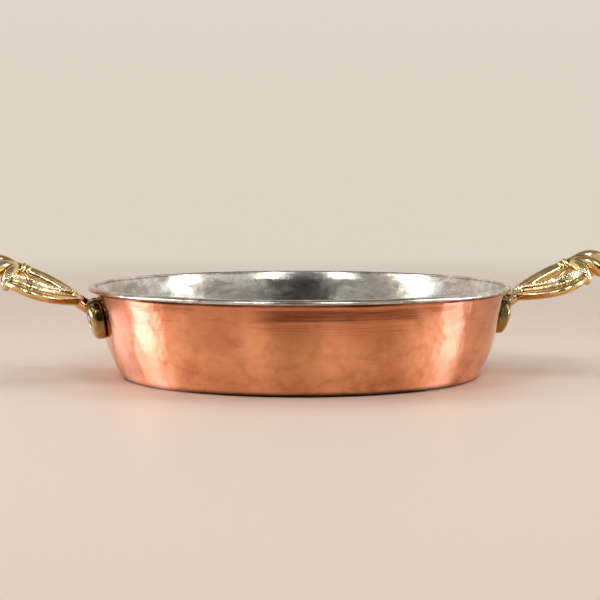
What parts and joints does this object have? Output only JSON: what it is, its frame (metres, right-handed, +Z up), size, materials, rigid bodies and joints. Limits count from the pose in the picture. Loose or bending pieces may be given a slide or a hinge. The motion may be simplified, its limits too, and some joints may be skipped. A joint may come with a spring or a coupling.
{
  "type": "copper egg pan",
  "caption": "Round tin-lined copper pan with a flared wall, a folded rim and ornate cast brass side handles riveted below the rim.",
  "frame": {"origin": "centre of the pan's base, on the table it stands on", "axes": "+Z up along the bowl's axis; the handles lie along X, one at +X and one at -X"},
  "size_m": [0.3074, 0.1996, 0.0582],
  "materials": {
    "copper": "hand-polished copper, lightly worn",
    "tin": "wiped tin, mottled grey",
    "brass": "polished cast brass",
    "rivet": "dull tinned metal"
  },
  "bodies": {
    "root": {"copper_bowl": "copper", "tin_lining": "tin", "handle_left": "brass", "handle_right": "brass", "rivet_left_front": "rivet", "rivet_left_back": "rivet", "rivet_right_front": "rivet", "rivet_right_back": "rivet"}
  },
  "joints": []
}
